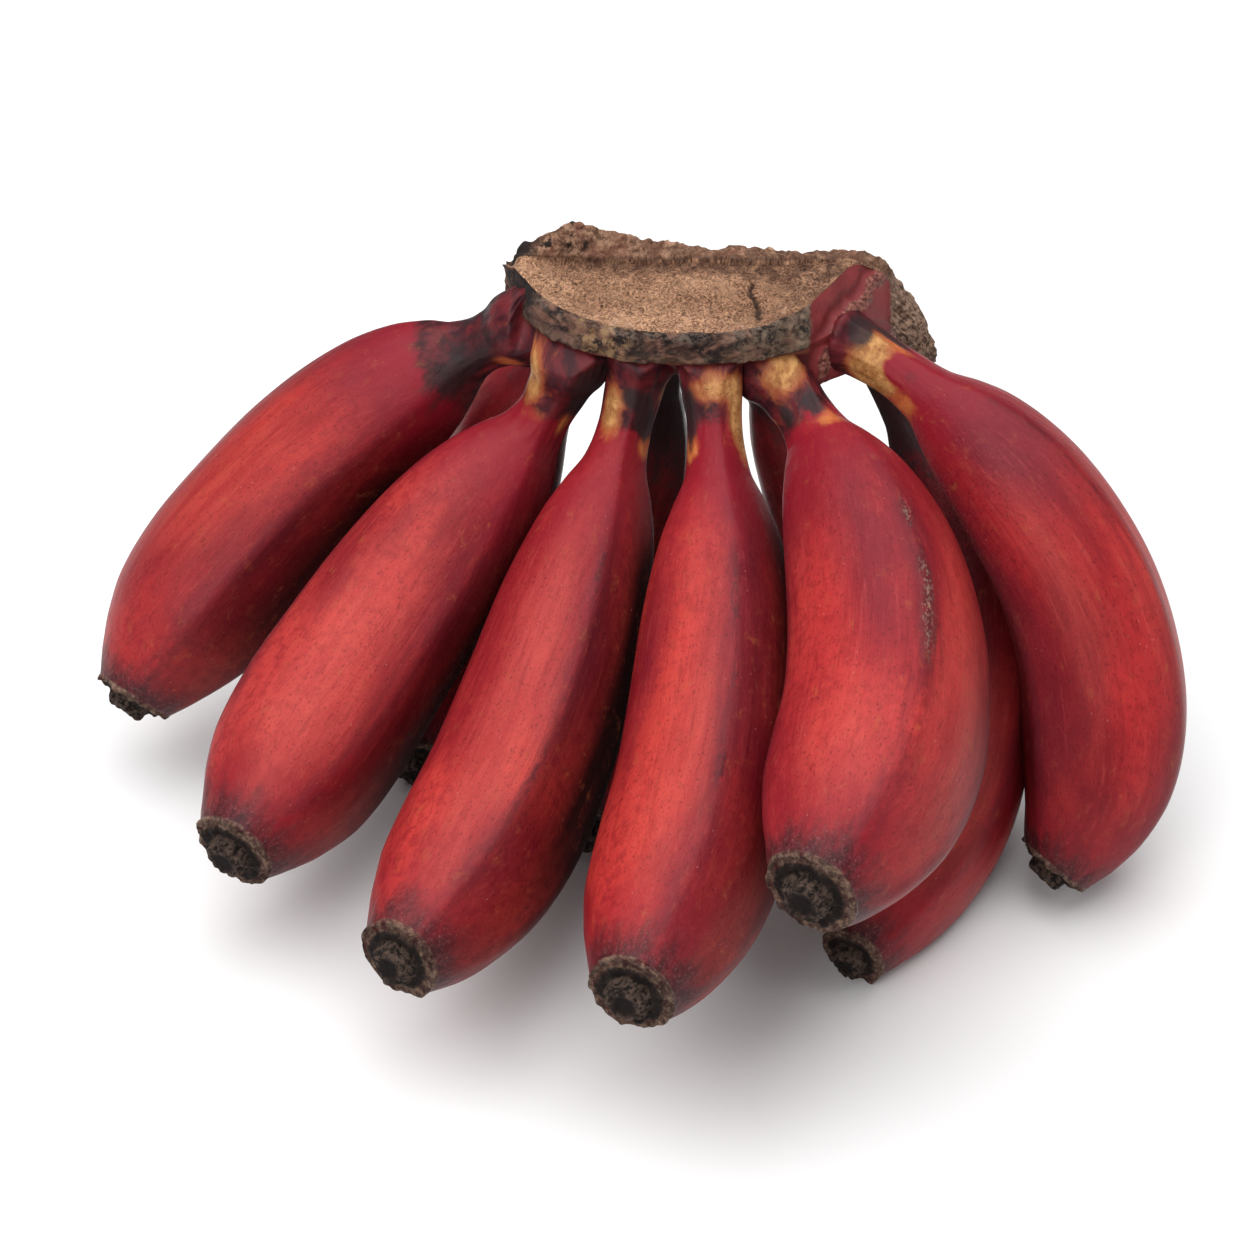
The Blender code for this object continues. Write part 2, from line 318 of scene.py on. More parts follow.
# Dark line along a ridge: angle, where it starts and ends, how strong, how much of it is grey dotted cork,
# half-width in degrees.
LINES = {
    "banana_front_1": ((54, 0.20, 0.80, 0.45, 0.1, 3.5), (-54, 0.15, 0.70, 0.35, 0.0, 4)),
    "banana_front_2": ((-54, 0.10, 0.75, 0.45, 0.1, 4), (54, 0.45, 0.95, 0.45, 0.4, 3.5)),
    "banana_front_3": ((-54, 0.20, 0.98, 0.65, 0.2, 4), (54, 0.30, 0.80, 0.30, 0.0, 3.5)),
    "banana_front_4": ((-54, 0.22, 0.90, 0.75, 0.2, 4), (54, 0.25, 0.70, 0.30, 0.0, 3.5)),
    "banana_front_5": ((-54, 0.20, 0.92, 0.80, 0.55, 5.5), (54, 0.30, 0.70, 0.20, 0.0, 4)),
    "banana_front_6": ((-54, 0.16, 0.60, 0.75, 0.3, 4), (54, 0.25, 0.70, 0.30, 0.1, 4)),
    "banana_back_1": ((-54, 0.30, 0.80, 0.4, 0.2, 4),),
    "banana_back_2": ((-54, 0.30, 0.80, 0.4, 0.2, 4),),
    "banana_back_3": ((-54, 0.30, 0.80, 0.4, 0.2, 4),),
    "banana_back_4": ((-54, 0.30, 0.90, 0.5, 0.2, 4),),
}

# Painted highlights and reflections in warm orange, and purple bruised places, listed like the necks' patches.
PAINTED_HIGHLIGHTS = {
    "banana_front_1": ((78, 68, 40, 34, 0.9),),
    "banana_front_2": ((112, 44, 46, 32, 0.75),),
    "banana_front_3": ((125, 26, 50, 28, 1.0), (60, 40, 30, 26, 0.4)),
    "banana_front_4": ((122, 12, 50, 28, 0.9), (60, 20, 30, 26, 0.4), (160, -66, 20, 30, 1.0)),
    "banana_front_5": ((138, -42, 22, 30, 0.9), (80, -14, 34, 30, 0.3), (110, -112, 46, 26, 0.75)),
    "banana_front_6": ((88, -21, 36, 22, 0.45), (95, -80, 40, 24, 0.6)),
    "banana_back_4": ((150, -20, 30, 30, 0.5),),
}
BRUISE = {
    "banana_front_1": ((32, 80, 22, 60, 0.9), (90, 8, 40, 26, 0.6), (122, 50, 16, 40, 0.55)),
    "banana_front_2": ((60, -4, 46, 26, 0.7), (30, 60, 16, 50, 0.4)),
    "banana_front_3": ((74, -8, 46, 20, 0.8), (160, -10, 20, 30, 0.6)),
    "banana_front_4": ((74, -30, 52, 24, 0.9), (158, -34, 22, 30, 0.8), (75, 52, 40, 16, 0.5)),
    "banana_front_5": ((66, -58, 44, 26, 0.6), (45, 10, 22, 40, 0.4), (150, -90, 14, 26, 0.5)),
    "banana_front_6": ((38, -50, 28, 50, 1.1), (100, 26, 60, 22, 0.7), (140, -80, 30, 26, 0.5)),
    "banana_back_4": ((100, 30, 70, 40, 0.7),),
}

# Patches by the name of the attribute that carries them.
PATCHES = {"tan": TAN, "orange": ORANGE, "black": SOOT_AND_PAINTED_SHADE, "painted_highlight": PAINTED_HIGHLIGHTS, "bruise": BRUISE}

# Painted shade on the sides turned to a neighbour or to the surface: angle where the side starts, which way it
# runs, strength.
PAINTED_SHADE_SIDES = {
    "banana_front_1": (14, -1, 0.95),
    "banana_front_2": (-6, -1, 0.95),
    "banana_front_3": (1, -1, 1.0),
    "banana_front_4": (-25, -1, 0.95),
    "banana_front_5": (-128, -1, 0.60),
    "banana_front_6": (36, 1, 1.0),
    "banana_back_4": (40, 1, 0.80),
}


def round_from(middle, angles):
    """Angles measured from the middle one, between -180 and 180."""
    return (angles - middle + 180) % 360 - 180


def painted_shade_sum(side, angles):
    """How much painted shade lies at angles round a finger, with its back always in half painted shade."""
    start, way, strength = side
    back = 0.5 * np.exp(-((round_from(180, angles) / 62) ** 4))
    away = way * round_from(start, angles)
    deepening = 0.40 + 0.60 * ease(8, 52, away)
    return np.maximum(back, strength * ease(-3, 7, away) * deepening * ease(155, 120, away))


def patch_sum(patches, lengths, angles):
    """Sum of soft round patches over rows at the given lengths and columns at the given angles."""
    total = np.zeros((len(lengths), len(angles)))
    for at, angle, half_length, half_angle, strength in patches:
        away = round_from(angle, angles) / half_angle
        near = ((lengths - at) / half_length)[:, None] ** 2 + away[None, :] ** 2
        total += strength * np.exp(-0.9 * near ** 1.4)
    return np.clip(total, 0, 1.3)


def facet_section(angles):
    """Radius of the section at angles in degrees: five flattened sides with rounded ridges between them."""
    fine = np.arange(0, 360, 0.5)
    radius = np.ones(len(fine))
    ridges = sorted(RIDGES)
    for near, far in zip(ridges, ridges[1:] + [ridges[0] + 360]):
        half = (far - near) / 2
        away = round_from((near + far) / 2, fine)
        on_side = np.abs(away) <= half
        flat = math.cos(math.radians(half)) / np.cos(np.radians(away[on_side]))
        radius[on_side] = 1 - (WIDE_FLATNESS if half > WIDE_SIDE else FLATNESS) * (1 - flat)
    weights = np.exp(-((np.arange(-40, 41) / 10) ** 2))
    radius = np.convolve(np.concatenate([radius[-40:], radius, radius[:40]]), weights / weights.sum(), "valid")
    return np.interp(angles % 360, fine, radius) * SECTION_SCALE


def own_coordinates(points):
    """Across, ahead and down from the middle of the cut."""
    offset = points - np.array(CUT_CENTRE)
    return np.stack([offset @ np.array(axis) for axis in (-LEFT, FORWARD, DOWN)], -1)


def tuck_under_rim(place, centre, lengths):
    """Keeps a neck's root behind the crown's rim, and inside the red block left of the corky cord."""
    own = own_coordinates(place)
    across, ahead, down = own[..., 0], own[..., 1], own[..., 2]
    near = ease(24, 12, lengths)[:, None]
    edge = smooth_table(across.ravel(), [(row[0], row[1]) for row in CROWN_STATIONS]).reshape(across.shape)
    limit = edge + RIM_SWELL - 1.2 + 2.2 * np.clip(down - 8.5, 0, None)
    over = np.clip(ahead - limit, 0, None) * near * ease(34, 28, across) * ease(-44, -38, across)
    place = place - over[..., None] * np.array(FORWARD)
    aside = line_distance(across, ahead, *CORD)[0]
    inside = ease(1.0, -2.5, aside) * ease(32, 35, across) * near
    return place + (centre[:, None, :] - place) * (0.55 * inside)[..., None]


def finger_rings(spec, reach_back, neck_share):
    """Places of the rings along a finger as shares of its length, and their radii."""
    half_width = spec.width / 2
    stops = np.concatenate([
        np.linspace(-reach_back / spec.length, SHOULDER, NECK_ROWS, endpoint=False),
        np.linspace(SHOULDER, TAPER, BODY_ROWS, endpoint=False),
        np.linspace(TAPER, 1.0, TAPER_ROWS),
    ])
    places = np.concatenate([stops, [1 + past / spec.length for past, _ in TIP_PROFILE]])
    radii = np.concatenate([
        half_width * smooth_table(profile_place(np.maximum(stops, 0), neck_share), PROFILE),
        [half_width * share for _, share in TIP_PROFILE],
    ])
    return places, radii * (1 + ROOT_FLARE * ease(5, -4, places * spec.length))


def ring_frames(spec, places, neck_lean, body_lean, lean_end):
    """Middle, direction, inner side and sideways direction of each ring."""
    centres, alongs, inners = finger_line(spec)
    body = np.clip(places, 0, 1)
    index = body * (len(centres) - 1)
    low = np.floor(index).astype(int).clip(0, len(centres) - 2)
    part = (index - low)[:, None]
    centre = centres[low] * (1 - part) + centres[low + 1] * part
    along = alongs[low] * (1 - part) + alongs[low + 1] * part
    along /= np.linalg.norm(along, axis=1)[:, None]
    inner = inners[low] * (1 - part) + inners[low + 1] * part
    inner -= along * (inner * along).sum(1)[:, None]
    inner /= np.linalg.norm(inner, axis=1)[:, None]
    centre = centre + along * ((places - body) * spec.length)[:, None]
    lengths = places * spec.length
    lean = neck_lean * ease(lean_end, 25, lengths) + body_lean * ease(35, 85, lengths) * ease(1, 0.68, places)
    return centre - np.array(LEFT) * lean[:, None], along, inner, np.cross(along, inner)


def worn_lines(name, seed, angles, places, points, length):
    """How dark, and how corky, the worn lines along a finger's ridges are."""
    shape = (len(places), len(angles))
    dark, cork = np.zeros(shape), np.zeros(shape)
    broken = 0.55 + 0.9 * noise_field(points * (1, 1, 0.3), 5, seed + 13, 3).reshape(shape)
    for order, (middle, start, stop, amount, dotted, half_line) in enumerate(LINES[name]):
        wander = 3.0 * noise_field([(0, 0, p * length) for p in places], 16, seed + 11 + order, 2)
        stretch = (ease(start, start + 0.12, places) * ease(stop, stop - 0.2, places))[:, None]
        away = round_from(middle, angles)[None, :] - wander[:, None]
        line = np.exp(-((away / half_line) ** 2)) * stretch
        dark = np.maximum(dark, amount * line * np.clip(broken + 0.2, 0, 1.2))
        cork = np.maximum(cork, dotted * line * np.clip(broken, 0, 1.2))
    return dark, cork


def straightened(reach, turn, lengths):
    """Every point as if the finger were straight: steady ground for lumps, folds and the skin's own pattern."""
    rows = np.broadcast_to(lengths[:, None], reach.shape)
    return np.stack([reach * np.cos(turn), reach * np.sin(turn), rows], -1).reshape(-1, 3)


def finger_mesh(name, spec, seed):
    length, half_width = spec.length, spec.width / 2
    roll = spec.roll + RIDGE_TURN.get(name, 0)
    reach_back, skin_start = NECKS[name]
    neck_share, neck_lean, body_lean, lean_end = BACK_NECKS.get(name, (spec.neck_share, 0, 0, 60))
    places, radii = finger_rings(spec, reach_back, neck_share)
    centre, along, inner, side = ring_frames(spec, places, neck_lean, body_lean, lean_end)
    lengths = places * length

    angles = np.arange(AROUND) * 360 / AROUND
    turn = np.radians(angles)
    crest = np.max([np.exp(-((round_from(ridge, angles) / 10) ** 2)) for ridge in RIDGES], axis=0)
    ridged = (1 - 0.75 * ease(0.93, 1.0, places)) * (0.9 + 0.3 * ease(0.3, 0.1, places))
    reach = radii[:, None] * (1 + ridged[:, None] * (facet_section(angles)[None, :] - 1))

    points = straightened(reach, turn, lengths)
    shape = (len(places), AROUND)
    lumps = noise_field(points * (1, 1, 0.35), 16, seed, 2).reshape(shape)
    fine = noise_field(points * (1, 1, 0.16), 2.6, seed + 3, 2).reshape(shape)
    neck = ease(0.17, 0.08, places)[:, None]
    tip = ease(1.0, 1.012, places)[:, None]
    end_zone = (ease(0.93, 0.99, places) * (1 - ease(1.0, 1.004, places)))[:, None]
    reach = reach + 0.35 * lumps * (1 - tip) + fine * (0.05 + 0.28 * neck + 0.10 * end_zone)

    # The dry crumple and folds of the blossom end, with a raised lip round it.
    crumple = noise_field(points * (1, 1, 1.6), 3.1, seed + 7, 3).reshape(shape)
    folds = sum(
        math.cos(seed * 2.1 + order) * np.cos(turn * order + seed * order) for order in (5, 7, 11)
    )[None, :]
    shrink = np.clip(reach / half_width / 0.30, 0, 1)
    reach = reach + tip * shrink * (0.75 * crumple + 0.28 * folds)
    drift = tip * (0.8 * crumple + 0.15 * folds) * shrink
    lip = np.exp(-(((places - 1) * length - 0.8) / 0.6) ** 2)[:, None]
    reach = reach + lip * (0.25 + 0.35 * crumple)
    dark, cork = worn_lines(name, seed, angles, places, points, length)
    reach = reach + 0.10 * cork * (0.6 + fine)

    # Rings into place; near the root they turn to the crown's face and slide along the finger to lie on it.
    turned = turn + math.radians(roll)
    out = inner[:, None, :] * np.cos(turned)[:, None] + side[:, None, :] * np.sin(turned)[:, None]
    place = centre[:, None, :] + out * reach[..., None] + along[:, None, :] * drift[..., None]
    turning = np.clip(places / 0.15, 0, 1)[:, None]
    plane = np.array(root_of(spec)[1]) * (1 - turning) + along * turning
    slip = ((place - centre[:, None, :]) * plane[:, None, :]).sum(-1) / (along * plane).sum(1)[:, None]
    place = place - along[:, None, :] * (slip - drift)[..., None] * (places < 0.16)[:, None, None]
    if "front" in name:
        place = tuck_under_rim(place, centre, lengths)
    place[..., 2] = np.maximum(place[..., 2], 0)

    by_row = {
        "place": places,
        "past": (places - 1) * length,
        "neck": ease(skin_start + 8, skin_start - 3, lengths),
    }
    # Painted shade on the sides facing a neighbour and on the back, none near the root, halved towards the tip.
    deep = painted_shade_sum(PAINTED_SHADE_SIDES.get(name, (180, 1, 0.5)), angles + roll)[None, :]
    grids = {
        "crest": np.broadcast_to(crest[None, :], shape),
        "cork": cork,
        "dark": dark,
        "painted_shade": deep * (ease(18, 58, lengths) * (1 - 0.5 * ease(0.70, 0.94, places)))[:, None],
        "inward": np.clip(1 - reach / (0.45 * half_width), 0, 1) * tip,
        **{key: np.broadcast_to(values[:, None], shape) for key, values in by_row.items()},
        **{key: patch_sum(table.get(name, ()), lengths, angles + roll) for key, table in PATCHES.items()},
    }
    attributes = {key: grid.reshape(-1, 1) for key, grid in grids.items()}
    attributes["straight"] = straightened(reach, turn, lengths)
    return ring_mesh(name + "_skin", place, attributes, places)


# ---------------------------------------------------------------- crown

def crown_corners(across):
    """Corners of the crown's section as (forward, down), with the peel set back below the rim's lip."""
    cut, peel, top, under, ridge = (
        smooth_table([across], [(row[0], row[column]) for row in CROWN_STATIONS])[0] for column in range(1, 6)
    )
    rim = max(cut + RIM_SWELL, (cut + peel) / 2 + RIM_SWELL)
    height = min(RIM_HEIGHT, 0.7 * (under - top))
    chord = min(CHORD, cut - 1)
    back = float(ease(-44, -36, [across])[0] * ease(34, 24, [across])[0])
    return np.array([
        (peel - 5.0 * back, under),
        (rim - 3.2 * back, top + height + 2.2),
        (rim, top + height),
        (cut + 0.6 * RIM_SWELL, top + 1),
        (cut, top),
        (chord, top),
        (chord - 4, top - ridge),
        (CROWN_BACK + 3, top + min(BACK_DROP, height)),
        (CROWN_BACK, under - 1),
        (CROWN_BACK + 2, under),
    ], float)


# Points along each side of the crown's section, and the side's zone: 0 peel, 1 rim, 2 cut face, 3 raised back,
# 4 back and underside, 5 under the lip.
CROWN_CUTS = (24, 10, 24, 8, 84, 18, 18, 14, 8, 30)
CROWN_ZONES = (0, 5, 1, 1, 2, 3, 3, 4, 4, 4)


def crown_mesh():
    left, right = CROWN_STATIONS[0][0], CROWN_STATIONS[-1][0]
    rows = []
    kinds = np.concatenate([[zone] * cuts for zone, cuts in zip(CROWN_ZONES, CROWN_CUTS)]).astype(float)
    for i in range(CROWN_ROWS + 1):
        across = left + (right - left) * i / CROWN_ROWS
        corners = crown_corners(across)
        ring = []
        for here, after, cuts in zip(corners, np.roll(corners, -1, 0), CROWN_CUTS):
            steps = np.arange(cuts)[:, None] / cuts
            ring.append(here * (1 - steps) + after * steps)
        ring = np.vstack(ring)
        for _ in range(8):
            ring = 0.5 * ring + 0.25 * (np.roll(ring, 1, 0) + np.roll(ring, -1, 0))
        rows.append(np.column_stack([np.full(len(ring), across), ring]))
    own = np.array(rows)
    zones = np.repeat(kinds[None, :], CROWN_ROWS + 1, 0)

    # Ends drawn in so that the loft closes roundly; the flange reaches further out and down than its stations.
    share = np.linspace(0, 1, CROWN_ROWS + 1)
    pinch = np.minimum(ease(0, 0.035, share) * 0.45 + 0.55, ease(1, 0.97, share) * 0.5 + 0.5)
    middle = own.mean(1, keepdims=True)
    own = middle + (own - middle) * pinch[:, None, None]
    out = np.clip(own[..., 0] - FLANGE_START, 0, None)
    own = own + np.stack([0.22 * out, 0 * out, 0.35 * out], -1)

    origin = np.array(CUT_CENTRE)
    axes = np.array([-LEFT, FORWARD, DOWN])
    flat = own.reshape(-1, 3)
    kind = zones.reshape(-1)
    place = origin + flat @ axes
    mesh = ring_mesh("crown_rough", place.reshape(own.shape), {}, share)
    normals = np.empty(len(mesh.vertices) * 3, np.float32)
    mesh.vertices.foreach_get("normal", normals)
    normals = normals.reshape(-1, 3)[:len(place)]
    bpy.data.meshes.remove(mesh)

    across, ahead, down = flat[:, 0], flat[:, 1], flat[:, 2]
    on_cut, on_rim, on_back = ((kind == zone).astype(float) for zone in (2, 1, 3))
    curls = noise_field(flat * (1, 1, 0.5), 1.5, 21, 3)
    clumps = noise_field(flat, 5.5, 23, 3)
    swell = noise_field(flat, 14, 25, 2)
    ribs = noise_field(flat * (2.2, 1, 0.3), 3.0, 27, 3)
    knobs = noise_field(flat * (0.8, 0.8, 1), 3.4, 33, 3)
    lift = on_cut * (0.40 * curls + 0.55 * clumps + 0.9 * swell)
    lift += on_rim * (0.35 * ribs + 0.75 * knobs + 0.9 * noise_field(flat * (1, 0.5, 0.5), 8, 41, 2))
    lift += on_back * (0.50 * curls + 0.9 * clumps + 0.9 * swell)
    on_peel = (kind == 0) | (kind == 5)
    lift += (kind == 4) * (0.5 * clumps + 0.5 * swell) + on_peel * (0.15 * clumps + 0.3 * swell)

    # The red block right of the cut: smooth, crossed by a corky cord where the last neck begins.
    cut_edge = smooth_table(across, [(row[0], row[1]) for row in CROWN_STATIONS])
    block = ease(29, 34, across) * ease(56, 51, across) * (1 - on_cut)
    block = block * ease(cut_edge - 3, cut_edge + 1, ahead)
    lift = lift * (1 - 0.75 * block)
    aside, part = line_distance(across, ahead, *CORD)
    aside = aside + 0.9 * noise_field(np.column_stack([part * 30, part * 0, part * 0]), 5, 35)
    cord = np.exp(-((aside / 1.1) ** 2)) * ease(-0.06, 0.02, part) * ease(1.06, 0.94, part) * (kind < 2)
    beside_cord = np.exp(-(((aside + 2.2) / 1.0) ** 2)) * block
    lift += cord * (0.7 + 0.5 * noise_field(flat, 1.8, 37, 2)) - 0.8 * beside_cord
    flange = ease(51, 56, across)
    grooves = noise_field(np.column_stack([across * 0.25, ahead * 1.6, down * 0.9]), 2.4, 39, 3)
    lift = lift * (1 - 0.7 * flange) + flange * (0.9 * grooves + 0.4 * ribs)

    # Dark crust on the lump at the back left, a dry crack in the cut, the hollow in front of the raised back.
    crust = ease(-40, -33, across) * ease(-20, -26, across) * ease(-12.5, -15, ahead) * (kind >= 2)
    lift += crust * (0.5 + 1.1 * knobs)
    crack_line = 17.5 + 0.10 * ahead + 1.3 * noise_field(np.column_stack([ahead, ahead * 0, ahead * 0]), 4, 31)
    crack = np.exp(-(((across - crack_line) / (0.35 + 0.07 * np.clip(ahead + 7, 0, 12))) ** 2))
    crack = crack * ease(-8, -4, ahead) * ease(12.5, 8, ahead) * on_cut
    hollow = on_cut * np.exp(-(((ahead - CHORD) / 5) ** 2)) * ease(-42, -30, across) * ease(44, 34, across)
    dish = on_cut * ease(14, 4, ahead) * ease(-40, -26, across) * ease(36, 22, across)
    lift = lift - 1.3 * crack - 1.4 * hollow - 0.7 * dish
    place = place + normals * lift[:, None]

    columns = {
        "cut": on_cut, "back": np.clip(on_back + (kind == 4), 0, 1), "peel": on_peel, "block": block,
        "cord": cord, "crust": crust, "flange": flange, "crack": np.clip(crack, 0, 1), "height": lift,
    }
    attributes = {key: np.asarray(values, float).reshape(-1, 1) for key, values in columns.items()}
    attributes["own"] = flat
    return ring_mesh("crown_skin", place.reshape(own.shape), attributes, share)


# ---------------------------------------------------------------- shader helpers

class Nodes:
    """Short calls for building one material."""

    def __init__(self, name):
        self.mat = bpy.data.materials.new(name)
        self.mat.use_nodes = True
        self.tree = self.mat.node_tree
        self.shader = self.tree.nodes["Principled BSDF"]

    def set(self, socket, value):
        if isinstance(value, bpy.types.NodeSocket):
            self.tree.links.new(value, socket)
        elif hasattr(socket.default_value, "__len__"):
            value = tuple(value)
            size = len(socket.default_value)
            socket.default_value = value + (1,) * (size - len(value))
        else:
            socket.default_value = value

    def attribute(self, name, kind="Fac"):
        node = self.tree.nodes.new("ShaderNodeAttribute")
        node.attribute_name = name
        return node.outputs[kind]

    def math(self, operation, a, b=0.0, c=None, clamp=False):
        node = self.tree.nodes.new("ShaderNodeMath")
        node.operation = operation
        node.use_clamp = clamp
        self.set(node.inputs[0], a)
        self.set(node.inputs[1], b)
        if c is not None:
            self.set(node.inputs[2], c)
        return node.outputs[0]

    def over(self, colour, tint, *amounts):
        """The tint laid over the colour, by the product of the amounts."""
        return self.blend(self.times(*amounts), colour, tint)

    def grit(self, vector, scale, detail, rough, low, high):
        """Noise stepped into patches."""
        return self.step(self.noise(vector, scale, detail, rough), low, high)

    def jagged(self, value, rough, amount):
        """A value whose edges are broken up by noise."""
        return self.math("ADD", value, self.times(self.math("SUBTRACT", rough, 0.5), amount))

    def times(self, *factors):
        total = factors[0]
        for factor in factors[1:]:
            total = self.math("MULTIPLY", total, factor)
        return total

    def step(self, value, low, high):
        """0 below low, 1 above high, eased; low may be above high."""
        node = self.tree.nodes.new("ShaderNodeMapRange")
        node.interpolation_type = "SMOOTHSTEP"
        self.set(node.inputs[0], value)
        if low < high:
            node.inputs[1].default_value, node.inputs[2].default_value = low, high
            node.inputs[3].default_value, node.inputs[4].default_value = 0, 1
        else:
            node.inputs[1].default_value, node.inputs[2].default_value = high, low
            node.inputs[3].default_value, node.inputs[4].default_value = 1, 0
        return node.outputs[0]

    def mapped(self, vector, scale, offset=(0, 0, 0)):
        node = self.tree.nodes.new("ShaderNodeMapping")
        self.set(node.inputs["Vector"], vector)
        node.inputs["Scale"].default_value = scale
        node.inputs["Location"].default_value = offset
        return node.outputs[0]

    def noise(self, vector, scale, detail=3, rough=0.55, distortion=0.0):
        node = self.tree.nodes.new("ShaderNodeTexNoise")
        self.set(node.inputs["Vector"], vector)
        node.inputs["Scale"].default_value = scale
        node.inputs["Detail"].default_value = detail
        node.inputs["Roughness"].default_value = rough
        node.inputs["Distortion"].default_value = distortion
        return node.outputs[0]

    def cells(self, vector, scale):
        node = self.tree.nodes.new("ShaderNodeTexVoronoi")
        self.set(node.inputs["Vector"], vector)
        node.inputs["Scale"].default_value = scale
        return node.outputs["Distance"]

    def blend(self, factor, a, b, mode="MIX"):
        node = self.tree.nodes.new("ShaderNodeMix")
        node.data_type = "RGBA"
        node.blend_type = mode
        node.clamp_factor = True
        self.set(node.inputs[0], factor)
        self.set(node.inputs[6], a)
        self.set(node.inputs[7], b)
        return node.outputs[2]

    def bump(self, height, distance, strength):
        node = self.tree.nodes.new("ShaderNodeBump")
        self.set(node.inputs["Height"], height)
        node.inputs["Distance"].default_value = distance
        node.inputs["Strength"].default_value = strength
        return node.outputs[0]


# Skin of each finger: bright and deep reds, how purple its ridges are, how far back from the tip it darkens.
Look = namedtuple("Look", "light deep bloom smudge")
# The lower row's skin, its last finger's too, is painted darker than the upper row's: painted shade.
LOWER_ROW_LOOK_IN_PAINTED_SHADE = Look((0.240, 0.014, 0.017), (0.130, 0.006, 0.009), 0.50, 0.030)
LOOKS = {
    "banana_front_1": Look((0.450, 0.036, 0.030), (0.290, 0.014, 0.019), 0.55, 0.038),
    "banana_front_2": Look((0.420, 0.042, 0.037), (0.280, 0.018, 0.024), 0.60, 0.038),
    "banana_front_3": Look((0.480, 0.046, 0.038), (0.330, 0.019, 0.027), 0.55, 0.038),
    "banana_front_4": Look((0.460, 0.038, 0.032), (0.300, 0.013, 0.022), 0.60, 0.038),
    "banana_front_5": Look((0.430, 0.034, 0.034), (0.310, 0.014, 0.026), 0.60, 0.038),
    "banana_front_6": Look((0.370, 0.022, 0.025), (0.220, 0.008, 0.016), 0.50, 0.040),
    "banana_back_1": LOWER_ROW_LOOK_IN_PAINTED_SHADE,
    "banana_back_2": LOWER_ROW_LOOK_IN_PAINTED_SHADE,
    "banana_back_3": LOWER_ROW_LOOK_IN_PAINTED_SHADE,
    "banana_back_4": Look((0.300, 0.018, 0.021), (0.170, 0.007, 0.012), 0.50, 0.030),
}


